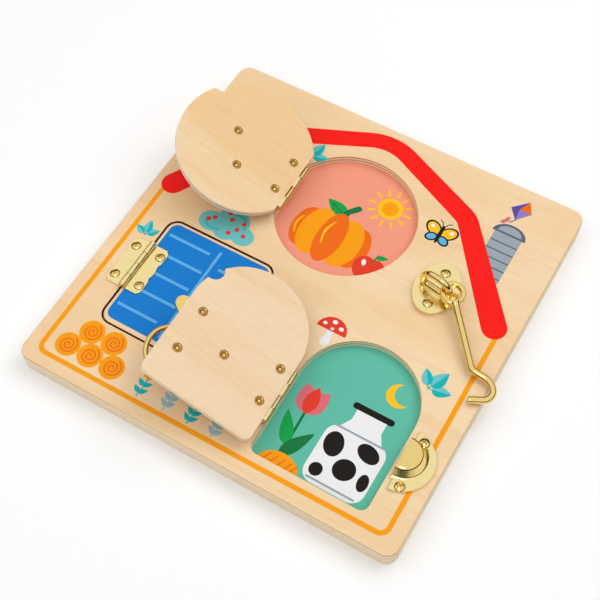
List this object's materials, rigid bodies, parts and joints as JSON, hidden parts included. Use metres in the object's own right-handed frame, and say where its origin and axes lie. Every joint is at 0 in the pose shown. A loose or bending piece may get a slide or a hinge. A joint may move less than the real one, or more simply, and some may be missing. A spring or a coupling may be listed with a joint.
{
  "type": "wooden busy board",
  "caption": "Square wooden activity board for a small child with hinged round, arched and square doors over shallow recesses, a cabin hook and a turn latch.",
  "frame": {"origin": "centre of the board's flat back face", "axes": "+Z out of the front face, +X to the right along the bottom edge, +Y up the board"},
  "size_m": [0.2812, 0.281, 0.0561],
  "materials": {
    "wood": "satin",
    "brass": "polished"
  },
  "bodies": {
    "board": {"back_panel": "wood", "front_panel": "wood", "round_hinge_board_leaf": "brass", "arch_hinge_board_leaf": "brass", "square_hinge_board_leaf": "brass", "round_hinge_pin": "brass", "arch_hinge_pin": "brass", "square_hinge_pin": "brass", "round_hinge_board_screws": "brass", "arch_hinge_board_screws": "brass", "square_hinge_board_screws": "brass", "hook_plate": "brass", "hook_staple": "brass", "hook_plate_screws": "brass", "keeper": "brass", "keeper_screws": "brass"},
    "round_door": {"round_door": "wood", "round_hinge_door_leaf": "brass", "round_hinge_door_screws": "brass", "round_hinge_door_nuts": "brass", "catch_plate": "brass", "catch_staple": "brass", "catch_screws": "brass", "catch_nuts": "brass"},
    "arch_door": {"arch_door": "wood", "arch_hinge_door_leaf": "brass", "arch_hinge_door_screws": "brass", "arch_hinge_door_nuts": "brass", "latch_plate": "brass", "latch_pivot": "brass", "latch_screws": "brass", "latch_nuts": "brass"},
    "square_door": {"square_door": "wood", "square_hinge_door_leaf": "brass", "square_hinge_door_screws": "brass", "square_hinge_door_nuts": "brass"},
    "hook": {"hook": "brass"},
    "latch": {"latch_lever": "brass"}
  },
  "joints": [
    {"name": "round_door_hinge", "type": "hinge", "parent": "board", "child": "round_door", "pos_m": [-0.0478, 0.0585, 0.0173], "axis": [0, 1, 0], "range_deg": [0, 159.7]},
    {"name": "arch_door_hinge", "type": "hinge", "parent": "board", "child": "arch_door", "pos_m": [0.0267, -0.0835, 0.0173], "axis": [0, 1, 0], "range_deg": [0, 160.7]},
    {"name": "square_door_hinge", "type": "hinge", "parent": "board", "child": "square_door", "pos_m": [-0.10655, -0.0468, 0.0173], "axis": [0, -1, 0], "range_deg": [0, 175]},
    {"name": "hook_swing", "type": "hinge", "parent": "board", "child": "hook", "pos_m": [0.0882, 0.0335, 0.0247], "axis": [0.0589, -0.0707, 0.9958], "range_deg": [-118, 150]},
    {"name": "latch_turn", "type": "hinge", "parent": "arch_door", "child": "latch", "pos_m": [-0.03012, -0.0835, 0.03961], "axis": [-0.3301, 0, -0.944], "range_deg": [-30, 90]}
  ],
  "couplings": [
    {"joint": "square_door_hinge", "follows": "arch_door_hinge", "ratio": 0.55}
  ]
}
